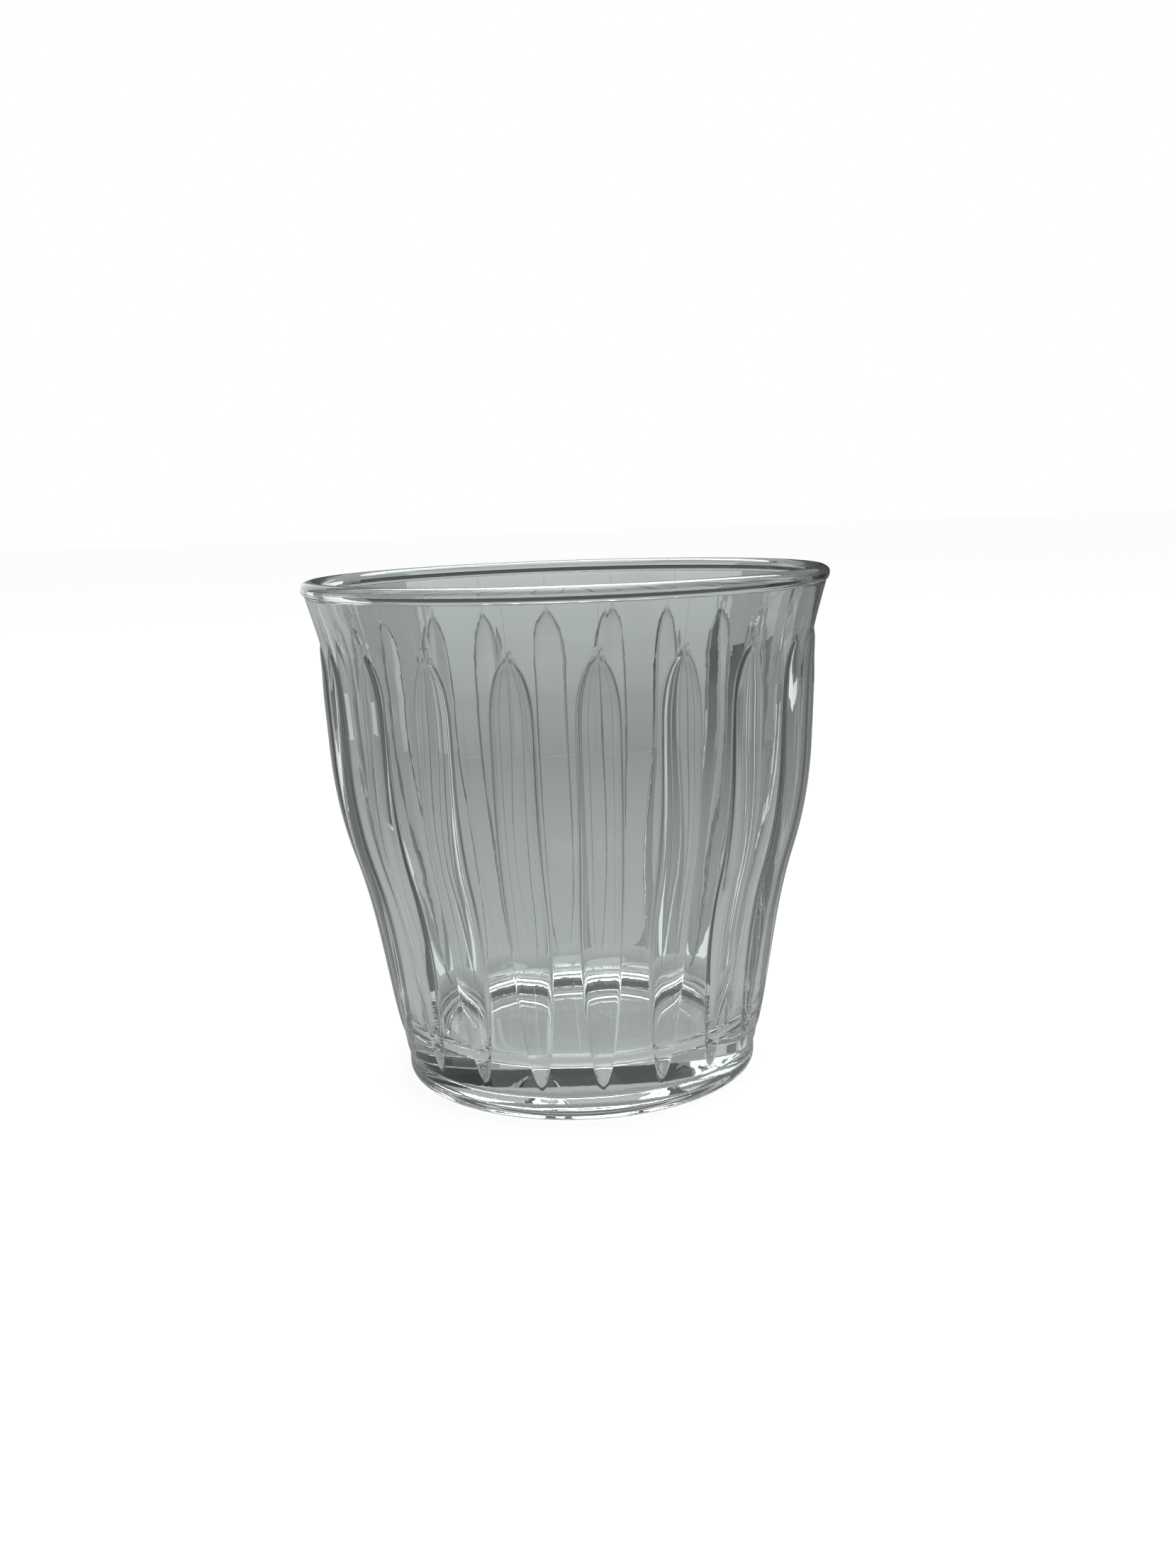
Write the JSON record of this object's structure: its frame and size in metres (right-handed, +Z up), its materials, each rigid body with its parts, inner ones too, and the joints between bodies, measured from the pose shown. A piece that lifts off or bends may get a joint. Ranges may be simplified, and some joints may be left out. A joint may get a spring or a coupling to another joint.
{
  "type": "juice glass",
  "caption": "Clear pressed-glass tumbler with a rolled rim, a flared collar, a wall of raised ribs with arched tops, a thick bottom and a plain foot, for drinking juice or water.",
  "frame": {"origin": "centre of the foot, on the plane that the glass stands on", "axes": "+Z up along the axis of the glass, -Y towards the front of the picture, with a rib facing it"},
  "size_m": [0.0844, 0.0844, 0.082],
  "materials": {
    "glass": "clear, polished, with a faint grey-green cast"
  },
  "bodies": {
    "root": {"rim_bead": "glass", "collar": "glass", "ribbed_wall": "glass", "base": "glass", "foot": "glass"}
  },
  "joints": []
}
